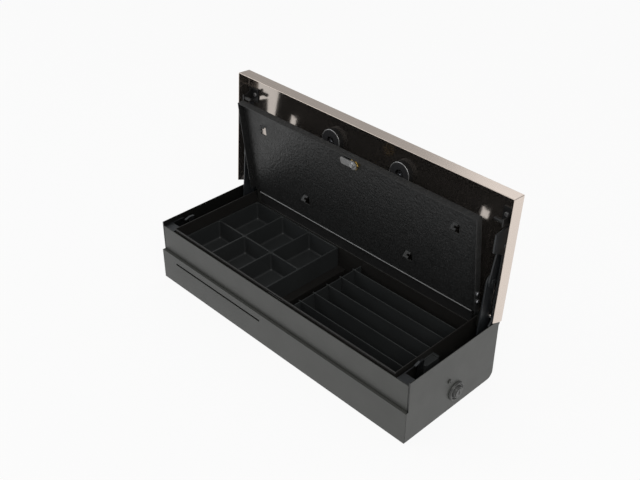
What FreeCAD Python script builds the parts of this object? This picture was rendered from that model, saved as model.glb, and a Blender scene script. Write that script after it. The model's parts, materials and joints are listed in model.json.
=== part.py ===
import FreeCAD, Part
import math
import os

from FreeCAD import Vector

# Flip-top cash drawer, millimetres, +X to the right along the front, +Y to the back, +Z up.
# The origin is under the middle of the casing, at the height that its pads stand on.
# The lid pieces are drawn shut and then turned open about their hinges, which is how they rest.

# Casing
sheet = 1.0
seam = 0.3
case_half = 225.5
case_front = 77.6
case_back = 81.9
side_top = 90.2
stand = 1.0
band_drop = 5.5
plate_top = 47.0
plate_proud = 4.3
corner_wrap = 2.2
base_flange = 10.0
rear_corner = 10.0
rear_ear = 1.4
rear_ear_height = 7.5
rear_drop = 1.2
cover_proud = 2.5
cover_height = 40.0
cover_inset = 2.5
rear_screw_x = 150.0
side_inner = case_half - sheet
base_under = stand + sheet
base_top = base_under + sheet
band_top = side_top - band_drop
rear_top = side_top - rear_drop
cover_bottom = rear_top - sheet - cover_height

# Slip slot in the lower front plate
slot_inset = 29.9
slot_length = 173.0
slot_bottom = 34.6
slot_height = 2.8
slot_left = -case_half + slot_inset

# Pads and fixing holes in the base
pad_radius = 9.0
pad_inset_x = 29.5
pad_inset_y = 20.6
fixing_x = 190.0
fixing_y = 30.0
fixing_radius = 2.75
pad_x = case_half - pad_inset_x
pad_y = case_front - pad_inset_y

# Outer lid, drawn shut
lid_overlap = 4.5
lid_skin = 1.0
lid_rise = 9.8
lid_front_gap = 7.2
lid_depth = 19.0
lid_edge_round = 1.2
lid_rear_lip = 6.4
lid_tail_taper = 4.7
hinge_inset = 5.7
hinge_drop = 4.0
hinge_to_back = 3.3
hinge_pin_radius = 1.5
hinge_ring = 1.1
lid_open_deg = 93.9
running_fit = 0.05
lid_half = case_half + lid_overlap
lid_top = side_top + lid_rise
lid_under = lid_top - lid_skin
lid_front = case_front + plate_proud + lid_front_gap + lid_skin
hinge_y = case_back - hinge_inset
hinge_z = lid_top - hinge_drop
lid_back = hinge_y + hinge_to_back

# Tray
channel = 24.3
tray_wall = 1.2
tray_front_gap = 2.0
tray_rear_gap = 8.2
tray_rim_drop = 1.2
tray_rear_drop = 16.0
tray_step_x = -22.0
shelf_under = 39.5
well_under = 13.0
slip_floor = 13.0
slip_back_inset = 16.5
bearer_width = 12.0
bearer_front_inset = 7.4
bearer_rear_inset = 21.5
channel_inner = case_half - channel
tray_half = channel_inner - tray_wall
tray_front = case_front - sheet - tray_front_gap - tray_wall
tray_back = case_back - sheet - tray_rear_gap - tray_wall
tray_rim = side_top - tray_rim_drop
tray_rear_rim = tray_rim - tray_rear_drop
slip_back = tray_back - slip_back_inset
bearer_front_y = -tray_front + bearer_front_inset
bearer_rear_y = tray_back - bearer_rear_inset

# Coin cups
cup_side_gap = 0.6
cup_gap = 0.4
cup_step_gap = 11.4
cup_wall = 2.4
cup_drop = 18.0
cups_across = 3
cups_deep = 2
cup_corner = 3.0
cup_floor_round = 2.9
cup_left = -tray_half + cup_side_gap
cup_right = tray_step_x - cup_step_gap
cup_top = tray_rim - cup_drop

# Note rails and dividers
rail_step_gap = 31.0
rail_side_gap = 14.0
rail_thick = 1.5
rail_drop = 26.0
rail_foot = 9.0
divider_thick = 1.2
divider_slack = 0.2
divider_reach = 3.0
divider_depth = 40.0
divider_inset = 34.9
divider_pitch = 24.3
divider_count = 5
rail_left = tray_step_x + rail_step_gap
rail_right = tray_half - rail_side_gap
rail_top = tray_rim - rail_drop
divider_first = -tray_front + divider_inset

# Inner lid, drawn shut
inner_sheet = 1.2
inner_lip_sheet = 1.0
inner_side_gap = 0.3
inner_front_gap = 0.4
inner_rim_gap = 0.7
inner_depth = 9.7
inner_side_inset = 5.8
inner_hinge_back = 0.3
inner_hinge_up = 0.3
inner_open_deg = 83.3
knuckle_radius = 1.5
knuckle_pin = 0.9
knuckle_count = 11
knuckle_inset = 8.0
knuckle_gap = 0.4
leaf_thick = 0.8
leaf_reach = 14.0
leaf_drop = 24.0
inner_screw_reach_low = 25.0
inner_screw_reach_high = 37.0
inner_half = channel_inner + inner_side_gap + inner_lip_sheet
inner_front = tray_front + tray_wall + inner_front_gap + inner_lip_sheet
inner_under = tray_rim + inner_rim_gap
inner_top = inner_under + inner_sheet
inner_hinge_y = tray_back + inner_hinge_back
inner_hinge_z = inner_under + inner_hinge_up
inner_side_back = inner_hinge_y - inner_side_inset
knuckle_half = tray_half - knuckle_inset

# Pressed windows with tabs in the inner lid
window_upper_inset = 36.5
window_upper_reach = 114.0
window_lower_x = 92.0
window_lower_reach = 33.0
window_width = 11.0
window_length = 13.0
tab_side_gap = 1.5
tab_length = 9.0
tab_notch = 2.5
tab_lean_deg = 52.0
window_upper_x = inner_half - window_upper_inset

# Cam lock in the inner lid
cam_lock_x = 8.0
cam_lock_inset = 13.0
barrel_radius = 6.6
plug_radius = 4.5
barrel_drop = 3.2
barrel_nut_rim = 1.4
bezel_radius = 8.4
bezel_thick = 1.0
cam_length = 21.0
cam_width = 10.0
cam_rim = 1.2
cam_bevel = 2.0
cam_thick = 1.3
cam_clear = 0.4
cam_screw_radius = 3.2
cam_screw_height = 2.6
cam_washer = 0.6

# Rail along each side of the lid, which carries its hinge pin and its stay
rail_inset = 6.5
lid_rail_thick = 2.0
lid_rail_drop = 5.8
lid_rail_front_gap = 1.0
lid_rail_end_gap = 1.5
lid_rail_flange = 3.0
lid_rail_flange_inset = 27.0
lid_rail_flange_length = 54.0
lid_rail_plate_depth = 26.0
lid_rail_plate_front = 3.0
lid_rail_plate_length = 24.0
lid_rail_plate_slope = 10.0
lid_rail_x = side_inner - rail_inset
lid_rail_back = lid_back - lid_rail_end_gap
lid_rear_lip_inset = 13.0
lid_rear_lip_half = lid_rail_x - lid_rear_lip_inset

# Ear on the casing that each hinge pin turns in
ear_gap = 0.4
ear_thick = 2.2
ear_foot = 10.0
ear_neck = 4.8
ear_shoulder = 0.8
ear_x = lid_rail_x + lid_rail_thick + ear_gap

# Stays between the lid and the casing, placed from the lid's hinge as they stand with the lid open
stay_lid_back = 6.0
stay_lid_up = 98.0
stay_knee_front = 4.2
stay_knee_up = 51.0
stay_foot_front = 12.2
stay_foot_down = 46.0
stay_side_gap = 1.6
stay_thick = 2.0
stay_gap = 0.4
stay_foot_round = 10.0
stay_knee_round = 9.0
upper_knee_round = 8.0
upper_lid_round = 3.3
upper_shoulder_front = 6.0
upper_shoulder_drop = 8.0
knee_pin = 2.0
knee_slack = 0.9
knee_head_rim = 1.2
foot_pin = 2.5
lid_pin = 1.8
stay_lid_y = hinge_y + stay_lid_back
stay_lid_z = hinge_z + stay_lid_up
stay_knee_y = hinge_y - stay_knee_front
stay_knee_z = hinge_z + stay_knee_up
stay_foot_y = hinge_y - stay_foot_front
stay_foot_z = hinge_z - stay_foot_down
upper_stay_x = lid_rail_x - stay_side_gap - stay_thick
lower_stay_x = upper_stay_x - stay_gap - stay_thick

# Stay springs
spring_wire = 1.4
spring_radius = 5.4
spring_turns = 2
spring_pitch = 2.2
spring_side_gap = 1.2
spring_wall_gap = 0.3
spring_start_x = upper_stay_x + stay_thick + spring_side_gap
spring_leg = case_back - sheet - spring_wall_gap - stay_foot_y

# Latch
shaft_inset = 29.6
shaft_up = 5.5
shaft_radius = 3.0
hook_gap = 6.3
hook_thick = 3.0
hook_round = 5.2
hook_stem_front_reach = 5.0
hook_stem_back_reach = 2.0
hook_lid_gap = 7.5
hook_swing_deg = 6.5
beak_reach = 4.5
beak_gap = 0.6
striker_inset = 21.6
striker_drop = 14.5
striker_pin = 2.5
striker_side_gap = 5.5
striker_leg_thick = 2.0
striker_leg_half = 5.0
striker_plate_thick = 1.5
striker_plate_front = 12.0
striker_plate_back = 8.0
striker_screw_front = 3.0
bracket_side_gap = 2.8
bracket_back = 4.0
bracket_thick = 1.2
bracket_drop = 6.2
notch_front_gap = 7.0
notch_hook_gap = 1.9
notch_leg_gap = 1.3
shaft_y = -case_front + shaft_inset
shaft_z = base_top + shaft_up
hook_x = channel_inner + hook_gap
hook_stem_front = shaft_y - hook_stem_front_reach
hook_stem_back = shaft_y + hook_stem_back_reach
hook_top = lid_under - hook_lid_gap
striker_y = -case_front + striker_inset
striker_z = lid_under - striker_drop
striker_leg_x = side_inner - striker_side_gap
striker_leg_low = striker_z - striker_pin - sheet
beak_tip = striker_y - beak_reach
beak_under = striker_z + striker_pin + beak_gap
latch_bracket_back = shaft_y + bracket_back
latch_bracket_inner = channel_inner + bracket_side_gap
latch_bracket_top = side_top - bracket_drop
latch_notch_front = striker_y - notch_front_gap
latch_notch_inner = hook_x - notch_hook_gap
latch_notch_outer = striker_leg_x + striker_leg_thick + notch_leg_gap
lid_rail_front = striker_y + striker_plate_back + lid_rail_front_gap

# Solenoid in the right-hand channel
coil_frame = 1.5
coil_gap = 10.0
coil_length = 28.0
coil_width = 14.0
coil_side_gap = 0.5
coil_up = 9.0
coil_height = 24.0
plunger_radius = 3.5
plunger_pin = 1.5
coil_front = shaft_y + coil_gap
coil_back = coil_front + coil_length
coil_inner = hook_x - coil_side_gap
coil_outer = coil_inner + coil_width
coil_low = base_top + coil_up
coil_high = coil_low + coil_height

# Release rod and side lock
rod_side_gap = 2.4
rod_thick = 1.6
rod_height = 5.0
rod_pin = 1.2
rod_slack = 0.5
rod_above_lock = 4.0
lock_y = 8.0
lock_z = 25.0
lock_head_radius = 13.0
lock_head_proud = 5.0
lock_head_taper = 0.8
lock_rim_height = 3.0
lock_rim_width = 1.4
lock_dish_height = 1.2
lock_dish_slope = 1.2
lock_boss_wall = 1.4
lock_boss_taper = 0.9
lock_barrel_radius = 9.3
lock_barrel_length = 15.5
lock_plug_radius = 6.0
lock_nut_radius = 12.5
lock_nut_thick = 3.0
lock_crank_thick = 1.6
lock_plug_proud = 0.6
lock_slot_half = 3.4
lock_slot_width = 1.2
lock_slot_depth = 6.0
lock_swing_deg = 90.0
rod_x = channel_inner + rod_side_gap
rod_z = lock_z + rod_above_lock
lock_inner_end = side_inner - lock_barrel_length

# Small screw above the side lock
side_screw_y = -5.8
side_screw_z = 47.9

# Switch in the left-hand channel
switch_gap = 12.0
switch_length = 20.0
switch_up = 11.0
switch_height = 10.0
switch_side_gap = 4.8
switch_width = 6.4
switch_lever_thick = 0.6
switch_lever_height = 16.0
switch_front = shaft_y + switch_gap
switch_back = switch_front + switch_length
switch_low = base_top + switch_up
switch_high = switch_low + switch_height
switch_inner = channel_inner + switch_side_gap
switch_outer = switch_inner + switch_width

# Tray catches
catch_width = 9.8
catch_gap = 13.0
catch_length = 25.0
catch_height = 22.5
catch_drop = 9.7
catch_outer = channel_inner + catch_width
catch_front = shaft_y + catch_gap
catch_back = catch_front + catch_length
catch_high = side_top - catch_drop
catch_low = catch_high - catch_height

# Magnets under the lid
magnet_x = 59.0
magnet_reach = 42.0
magnet_radius = 16.0
magnet_height = 7.8
magnet_bore = 3.0

# Rear sockets
grommet_inset = 75.5
grommet_z = 24.0
grommet_bore = 4.0
grommet_neck = 6.0
grommet_flange = 8.5
grommet_flange_thick = 1.6
socket_inset = 115.5
socket_width = 16.0
socket_height = 14.0
socket_depth = 14.0
grommet_x = grommet_inset - case_half
socket_x = socket_inset - case_half

# Screws
screw_radius = 1.5
screw_head_radius = 2.9
screw_head_height = 1.9

X = Vector(1, 0, 0)
Y = Vector(0, 1, 0)
Z = Vector(0, 0, 1)


def block(x0, x1, y0, y1, z0, z1):
    """A box between two corners."""
    return Part.makeBox(x1 - x0, y1 - y0, z1 - z0, Vector(x0, y0, z0))


def rod_along(axis, centre, radius, length):
    """A round bar that starts at centre and runs along axis."""
    return Part.makeCylinder(radius, length, centre, axis)


def side_profile(points, x0, thick):
    """A plate in the YZ plane from its outline, between x0 and x0 + thick."""
    corners = [Vector(x0, y, z) for y, z in points]
    face = Part.Face(Part.makePolygon(corners + corners[:1]))
    return face.extrude(X * thick)


def top_profile(points, z0, thick):
    """A plate in the XY plane from its outline, between z0 and z0 + thick."""
    corners = [Vector(x, y, z0) for x, y in points]
    face = Part.Face(Part.makePolygon(corners + corners[:1]))
    return face.extrude(Z * thick)


def hexagon(radius):
    """Corner offsets of a hexagon whose corners lie on a circle."""
    turns = [math.radians(60 * corner) for corner in range(6)]
    return [(radius * math.cos(turn), radius * math.sin(turn)) for turn in turns]


def link(start, end, start_round, end_round, x0, thick):
    """A tapered link in the YZ plane: two round ends joined by their tangents."""
    run = Vector(0, end[0] - start[0], end[1] - start[1])
    along = Vector(run).normalize()
    across = X.cross(along)
    lean = math.asin((start_round - end_round) / run.Length)
    base = Vector(x0, start[0], start[1])
    tip = Vector(x0, end[0], end[1])

    def rim(centre, radius, side):
        return centre + along * (radius * math.sin(lean)) + across * (side * radius * math.cos(lean))

    corners = [rim(base, start_round, 1), rim(tip, end_round, 1), tip + along * end_round,
               rim(tip, end_round, -1), rim(base, start_round, -1), base - along * start_round]
    wire = Part.Wire([
        Part.LineSegment(corners[0], corners[1]).toShape(),
        Part.Arc(corners[1], corners[2], corners[3]).toShape(),
        Part.LineSegment(corners[3], corners[4]).toShape(),
        Part.Arc(corners[4], corners[5], corners[0]).toShape(),
    ])
    return Part.Face(wire).extrude(X * thick)


def bored_x(shape, y, z, radius):
    """The shape with a round hole right through it along X."""
    reach = 2 * case_half
    return shape.cut(rod_along(X, Vector(-reach, y, z), radius, 2 * reach))


def mirrored(shape):
    """The same shape on the left-hand side."""
    return shape.mirror(Vector(0, 0, 0), X)


def opened(shape):
    """An outer lid piece turned from shut to open."""
    turned = shape.copy()
    turned.rotate(Vector(0, hinge_y, hinge_z), X, -lid_open_deg)
    return turned


def inner_opened(shape):
    """An inner lid piece turned from shut to open."""
    turned = shape.copy()
    turned.rotate(Vector(0, inner_hinge_y, inner_hinge_z), X, -inner_open_deg)
    return turned


def released(shape):
    """A latch piece turned from hooked to released."""
    turned = shape.copy()
    turned.rotate(Vector(0, shaft_y, shaft_z), X, -hook_swing_deg)
    return turned


def shut_point(y, z):
    """Where a point of the open lid lies when the lid is shut."""
    point = Vector(0, y - hinge_y, z - hinge_z)
    point = FreeCAD.Rotation(X, lid_open_deg).multVec(point)
    return point.y + hinge_y, point.z + hinge_z


def screw(centre, out, shank_length):
    """A pan head screw: its head stands out from centre, and its shank goes the other way."""
    head = Part.makeCylinder(screw_head_radius, screw_head_height, centre, out)
    rim = [edge for edge in head.Edges if abs((edge.CenterOfMass - centre).dot(out) - screw_head_height) < 0.01]
    head = head.makeFillet(0.8, [edge for edge in rim if edge.Closed][:1])
    drive_depth = 0.6 * screw_head_height
    top = centre + out * (screw_head_height - drive_depth)
    side = Vector(out.y, out.z, out.x)
    other = out.cross(side)
    for first, second in ((side, other), (other, side)):
        start = top - first * 1.5 - second * 0.3
        corners = [start, start + first * 3.0, start + first * 3.0 + second * 0.6, start + second * 0.6]
        cut = Part.Face(Part.makePolygon(corners + corners[:1])).extrude(out * (drive_depth + 1))
        head = head.cut(cut)
    return head.fuse(Part.makeCylinder(screw_radius, shank_length, centre, -out)).removeSplitter()


# Casing


def base_panel():
    """The floor of the casing, with its four fixing holes."""
    panel = block(-side_inner + seam, side_inner - seam, -case_front + sheet, case_back - sheet - seam,
                  base_under, base_top)
    for x in (-fixing_x, fixing_x):
        for y in (-fixing_y, fixing_y):
            panel = panel.cut(rod_along(Z, Vector(x, y, 0), fixing_radius, side_top))
    return panel


def pads():
    """Thin round pads under the base: four near the corners and one in the middle."""
    places = [(x, y) for x in (-pad_x, pad_x) for y in (-pad_y, pad_y)] + [(0, 0)]
    return [rod_along(Z, Vector(x, y, 0), pad_radius, base_under) for x, y in places]


def side_panel():
    """The right-hand side of the casing with its wrapped front corner and its flange under the base."""
    ear_low = side_top - rear_ear_height
    bend = Vector(0, case_back - rear_corner, stand + rear_corner)
    knee = bend + Vector(0, rear_corner * math.sin(math.pi / 4), -rear_corner * math.cos(math.pi / 4))
    outline = [
        (case_back, stand + rear_corner), (case_back, ear_low), (case_back + rear_ear, ear_low + rear_ear),
        (case_back + rear_ear, side_top - rear_ear), (case_back, side_top),
        (-case_front, side_top), (-case_front, plate_top - seam),
        (-case_front - plate_proud + sheet + seam, plate_top - seam),
        (-case_front - plate_proud + sheet + seam, stand), (case_back - rear_corner, stand),
    ]
    corners = [Vector(side_inner, y, z) for y, z in outline]
    edges = [Part.LineSegment(a, b).toShape() for a, b in zip(corners, corners[1:])]
    knee.x = side_inner
    edges.append(Part.Arc(corners[-1], knee, corners[0]).toShape())
    panel = Part.Face(Part.Wire(edges)).extrude(X * sheet)
    wrap = block(case_half - corner_wrap, case_half, -case_front, -case_front + sheet, plate_top + seam, side_top)
    flange = block(side_inner - base_flange, case_half, -case_front + sheet, case_back - rear_corner,
                   stand, base_under)
    return panel.fuse([wrap, flange]).removeSplitter()


def side_panel_right():
    """The right-hand side with its lock hole and its small screw hole."""
    panel = bored_x(side_panel(), lock_y, lock_z, lock_barrel_radius + running_fit)
    return panel.cut(rod_along(X, Vector(side_inner - 1, side_screw_y, side_screw_z), screw_radius, sheet + 2))


def front_plate():
    """The lower front, which stands proud of the band, with the slip slot and its folded edges."""
    face = -case_front - plate_proud
    plate = block(-case_half, case_half, face, face + sheet, stand, plate_top)
    top_fold = block(-side_inner + seam, side_inner - seam, face, -case_front - seam,
                     plate_top - sheet, plate_top)
    low_half = side_inner - base_flange - seam
    low_fold = block(-low_half, low_half, face, -case_front + base_flange, stand, base_under)
    slot = block(slot_left, slot_left + slot_length, face - 1, face + sheet + 1,
                 slot_bottom, slot_bottom + slot_height)
    return plate.fuse([top_fold, low_fold]).removeSplitter().cut(slot)


def front_band():
    """The upper front of the casing, between the two wrapped corners."""
    half = case_half - corner_wrap - seam
    band = block(-half, half, -case_front, -case_front + sheet, plate_top - 3 * sheet, band_top)
    fold_half = half - 2 * sheet
    fold = block(-fold_half, fold_half, -case_front, -case_front + sheet, base_top, plate_top - 2 * sheet)
    slot = block(slot_left - 2, slot_left + slot_length + 2, -case_front - 1, -case_front + sheet + 1,
                 slot_bottom - 2, slot_bottom + slot_height + 2)
    return band.fuse(fold).removeSplitter().cut(slot)


def rear_panel():
    """The back wall of the casing, with its socket and grommet holes."""
    front = case_back - sheet
    panel = block(-side_inner + seam, side_inner - seam, front, case_back, base_under, rear_top)
    panel = panel.cut(rod_along(Y, Vector(grommet_x, front - 1, grommet_z), grommet_neck, sheet + 2))
    half_width = socket_width / 2
    half_height = socket_height / 2
    return panel.cut(block(socket_x - half_width, socket_x + half_width, front - 1, case_back + 1,
                           grommet_z - half_height, grommet_z + half_height))


def rear_cover():
    """The shallow plate on the back that covers the hinge fixings."""
    half = side_inner - cover_inset
    outer = block(-half, half, case_back, case_back + cover_proud, cover_bottom, rear_top - sheet)
    inner = block(-half + sheet, half - sheet, case_back - 1, case_back + cover_proud - sheet,
                  cover_bottom + sheet, rear_top - 2 * sheet)
    cover = outer.cut(inner)
    for x in (-rear_screw_x, rear_screw_x):
        boss = rod_along(Y, Vector(x, case_back, rear_screw_z()), 2 * screw_head_radius, cover_proud)
        cover = cover.fuse(boss)
        cover = cover.cut(rod_along(Y, Vector(x, case_back - 1, rear_screw_z()), screw_radius, cover_proud + 2))
    return cover.removeSplitter()


def rear_screw_z():
    """Height of the screws in the rear cover."""
    return (cover_bottom + rear_top) / 2


def rear_screws():
    """The two screws that hold the rear cover."""
    face = case_back + cover_proud
    return [screw(Vector(x, face, rear_screw_z()), Y, cover_proud) for x in (-rear_screw_x, rear_screw_x)]


def hinge_bracket():
    """The right-hand ear that carries the lid's hinge pin, with its foot on the back wall."""
    ring = hinge_pin_radius + hinge_ring
    wall = case_back - sheet
    low = side_top - 2 * ear_foot
    top_back = Vector(ear_x, hinge_y + ring, hinge_z)
    top_front = Vector(ear_x, hinge_y - ring, hinge_z)
    crown = Vector(ear_x, hinge_y, hinge_z + ring)
    corners = [top_front, Vector(ear_x, hinge_y - ear_foot, rear_top - ring), Vector(ear_x, hinge_y - ear_foot, low),
               Vector(ear_x, wall, low), Vector(ear_x, wall, rear_top - ear_shoulder),
               Vector(ear_x, hinge_y + ring, hinge_z - ear_neck), top_back]
    edges = [Part.LineSegment(a, b).toShape() for a, b in zip(corners, corners[1:])]
    edges.append(Part.Arc(top_back, crown, top_front).toShape())
    ear = Part.Face(Part.Wire(edges)).extrude(X * ear_thick)
    foot = block(ear_x - ear_foot, ear_x + ear_thick, wall - ear_thick, wall, low, rear_top)
    return bored_x(ear.fuse(foot).removeSplitter(), hinge_y, hinge_z, hinge_pin_radius + running_fit)


# Tray and what it holds


def tray():
    """The inner tray: a shelf for the cups on the left and a deep well on the right."""
    outer_half = tray_half + tray_wall
    front = -tray_front - tray_wall
    back = tray_back + tray_wall
    shelf = block(-outer_half, tray_step_x + tray_wall, front, back, shelf_under, tray_rim)
    well = block(tray_step_x, outer_half, front, back, well_under, tray_rim)
    shelf_space = block(-tray_half, tray_step_x + tray_wall, -tray_front, tray_back,
                        shelf_under + tray_wall, tray_rim + 1)
    well_space = block(tray_step_x + tray_wall, tray_half, -tray_front, tray_back,
                       well_under + tray_wall, tray_rim + 1)
    body = shelf.fuse(well).removeSplitter().cut(shelf_space).cut(well_space)
    body = body.cut(block(-outer_half - 1, outer_half + 1, tray_back - 1, back + 1, tray_rear_rim, tray_rim + 1))
    low, high = cam_slot_heights()
    left, right = cam_slot_sides()
    return body.cut(block(left, right, front - 1, -tray_front + 1, low, high))


def slip_box():
    """The low compartment that the slot leads into, which also carries the tray's shelf."""
    left = -tray_half - tray_wall
    right = tray_step_x - seam
    front = -case_front + 2 * sheet
    walls = [block(x, x + sheet, front, slip_back, base_top, shelf_under) for x in (left, right - sheet)]
    floor = block(left, right, front, slip_back, slip_floor - sheet, slip_floor)
    rear = block(left, right, slip_back - sheet, slip_back, base_top, shelf_under)
    body = walls[0].fuse([walls[1], floor, rear]).removeSplitter()
    return bored_x(body, shaft_y, shaft_z, shaft_radius + 3 * seam)


def bearers():
    """Two folded bearers under the deep well of the tray."""
    left = tray_step_x + base_flange
    right = tray_half - base_flange
    made = []
    for y in (bearer_front_y, bearer_rear_y):
        half = bearer_width / 2
        outer = block(left, right, y - half, y + half, base_top, well_under)
        inner = block(left - 1, right + 1, y - half + sheet, y + half - sheet, base_top - 1, well_under - sheet)
        made.append(outer.cut(inner))
    return made


def cup_insert():
    """Coin cups in one moulding, with rounded floors."""
    front = -tray_front + cup_gap
    back = tray_back - cup_gap
    floor = shelf_under + tray_wall
    body = block(cup_left, cup_right, front, back, floor, cup_top)
    width = (cup_right - cup_left - (cups_across + 1) * cup_wall) / cups_across
    depth = (back - front - (cups_deep + 1) * cup_wall) / cups_deep
    for column in range(cups_across):
        for row in range(cups_deep):
            x = cup_left + cup_wall + column * (width + cup_wall)
            y = front + cup_wall + row * (depth + cup_wall)
            hollow = block(x, x + width, y, y + depth, floor + cup_wall, cup_top + 2 * cup_corner)
            upright = [edge for edge in hollow.Edges if abs(edge.tangentAt(edge.FirstParameter).z) > 0.9]
            hollow = hollow.makeFillet(cup_corner, upright)
            low = [edge for edge in hollow.Edges if edge.BoundBox.ZMax < floor + cup_wall + 0.01]
            body = body.cut(hollow.makeFillet(cup_floor_round, low))
    return body


def divider_places():
    """Centres of the note dividers, from the front to the back."""
    return [divider_first + place * divider_pitch for place in range(divider_count)]


def note_rail(x0, foot_side):
    """A slotted rail that holds one end of the note dividers, with its foot on the tray floor."""
    floor = well_under + tray_wall
    front = -tray_front + cup_gap
    back = tray_back - cup_gap
    rail = block(x0, x0 + rail_thick, front, back, floor, rail_top)
    foot_start = x0 if foot_side > 0 else x0 + rail_thick - rail_foot
    rail = rail.fuse(block(foot_start, foot_start + rail_foot, front, back, floor, floor + sheet)).removeSplitter()
    half = divider_thick / 2 + divider_slack
    for y in divider_places():
        rail = rail.cut(block(x0 - 1, x0 + rail_thick + 1, y - half, y + half, rail_top - divider_depth, rail_top + 1))
    return rail


def note_dividers():
    """Thin plates that drop into the rails."""
    left = rail_left - divider_reach
    right = rail_right + rail_thick + divider_reach
    half = divider_thick / 2
    return [block(left, right, y - half, y + half, rail_top - divider_depth, rail_top) for y in divider_places()]


def tray_catch():
    """A block on the outside of the tray that holds it down in the casing."""
    body = block(channel_inner, catch_outer, catch_front, catch_back, catch_low, catch_high)
    dip = block(channel_inner + 2 * sheet, catch_outer + 1, catch_front + 3 * sheet, catch_back - 3 * sheet,
                catch_high - 2 * sheet, catch_high + 1)
    return body.cut(dip)


# Inner lid


def inner_lock_y():
    """Place of the inner lock's axis with the inner lid shut."""
    return -inner_front + cam_lock_inset


def cam_slot_heights():
    """Lower and upper edge of the slots that the cam passes through."""
    top = inner_under - barrel_drop
    return top - cam_thick - cam_clear, top + cam_clear


def cam_slot_sides():
    """Left and right end of the slots that the cam passes through."""
    reach = inner_front + inner_lock_y() - inner_lip_sheet - tray_wall
    swept = math.sqrt(cam_length ** 2 + (cam_width / 2) ** 2 - reach ** 2)
    return cam_lock_x - swept - 2 * cam_clear, cam_lock_x + cam_width / 2 + 2 * cam_clear


def knuckles():
    """Start and end of each hinge knuckle along X, from left to right."""
    pitch = 2 * knuckle_half / knuckle_count
    return [(-knuckle_half + place * pitch + knuckle_gap / 2, -knuckle_half + (place + 1) * pitch - knuckle_gap / 2)
            for place in range(knuckle_count)]


def window_places():
    """Centres of the four pressed windows with the inner lid shut."""
    upper = inner_hinge_y - window_upper_reach
    lower = inner_hinge_y - window_lower_reach
    return [(-window_upper_x, upper), (window_upper_x, upper), (-window_lower_x, lower), (window_lower_x, lower)]


def window_tab(x, y):
    """A tab bent out of the lid towards the tray, with a notch like a small hook."""
    root = Vector(x, y - window_length / 2, inner_under + inner_lip_sheet)
    half = window_width / 2 - tab_side_gap
    tab = block(x - half, x + half, root.y, root.y + tab_length, inner_under, inner_under + inner_lip_sheet)
    middle = root.y + (tab_length - tab_notch) / 2
    notch = block(x, x + half + 1, middle, middle + tab_notch,
                  inner_under - 1, inner_under + inner_lip_sheet + 1)
    tab = tab.cut(notch)
    tab.rotate(root, X, -tab_lean_deg)
    return tab


def inner_lid():
    """The steel inner lid with its lips, windows, lock hole and cam slot."""
    back = inner_hinge_y - knuckle_radius - knuckle_gap
    plate = block(-inner_half, inner_half, -inner_front, back, inner_under, inner_top)
    low = inner_top - inner_depth
    lips = [
        block(-inner_half, inner_half, -inner_front, -inner_front + inner_lip_sheet, low, inner_top),
        block(-inner_half, -inner_half + inner_lip_sheet, -inner_front, inner_side_back, low, inner_top),
        block(inner_half - inner_lip_sheet, inner_half, -inner_front, inner_side_back, low, inner_top),
    ]
    body = plate.fuse(lips).removeSplitter()
    for x, y in window_places():
        body = body.cut(block(x - window_width / 2, x + window_width / 2, y - window_length / 2,
                              y + window_length / 2, inner_under - 1, inner_top + 1))
    body = body.fuse([window_tab(x, y) for x, y in window_places()]).removeSplitter()
    body = body.cut(rod_along(Z, Vector(cam_lock_x, inner_lock_y(), inner_under - 1), barrel_radius, inner_sheet + 2))
    for reach in (inner_screw_reach_low, inner_screw_reach_high):
        for lip_x in (-inner_half, inner_half):
            start = Vector(lip_x - 2 * inner_lip_sheet, inner_hinge_y - reach, inner_screw_z())
            body = body.cut(rod_along(X, start, screw_radius, 4 * inner_lip_sheet))
    low, high = cam_slot_heights()
    left, right = cam_slot_sides()
    return body.cut(block(left, right, -inner_front - 1, -inner_front + inner_lip_sheet + 1, low, high))


def knuckle_ring(start, end):
    """One knuckle of the long hinge."""
    centre = Vector(start, inner_hinge_y, inner_hinge_z)
    ring = rod_along(X, centre, knuckle_radius, end - start)
    return ring.cut(rod_along(X, centre, knuckle_pin + running_fit, end - start))


def knuckle_relief(start, end, slack):
    """The space that a leaf leaves for a knuckle of the other leaf."""
    centre = Vector(start - slack, inner_hinge_y, inner_hinge_z)
    return rod_along(X, centre, knuckle_radius + slack, end - start + 2 * slack)


def hinge_leaf_lid():
    """The leaf on the back of the inner lid, with every second knuckle."""
    back = inner_hinge_y
    leaf = block(-knuckle_half, knuckle_half, back - leaf_reach, back, inner_top, inner_top + leaf_thick)
    spans = knuckles()
    for start, end in spans[0::2]:
        leaf = leaf.cut(knuckle_relief(start, end, knuckle_gap))
    core = [rod_along(X, Vector(start, inner_hinge_y, inner_hinge_z), knuckle_radius - 0.01, end - start)
            for start, end in spans[1::2]]
    for space in core:
        leaf = leaf.cut(space)
    return leaf.fuse([knuckle_ring(start, end) for start, end in spans[1::2]]).removeSplitter()


def hinge_leaf_tray():
    """The leaf on the back of the tray, with the other knuckles."""
    front = tray_back + tray_wall
    leaf = block(-knuckle_half, knuckle_half, front, front + leaf_thick, inner_hinge_z - leaf_drop, inner_hinge_z)
    spans = knuckles()
    for start, end in spans[1::2]:
        leaf = leaf.cut(knuckle_relief(start, end, knuckle_gap))
    for start, end in spans[0::2]:
        leaf = leaf.cut(rod_along(X, Vector(start, inner_hinge_y, inner_hinge_z), knuckle_radius - 0.01, end - start))
    return leaf.fuse([knuckle_ring(start, end) for start, end in spans[0::2]]).removeSplitter()


def hinge_wire():
    """The pin through the long hinge."""
    start = Vector(-knuckle_half, inner_hinge_y, inner_hinge_z)
    return rod_along(X, start, knuckle_pin, 2 * knuckle_half)


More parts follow.
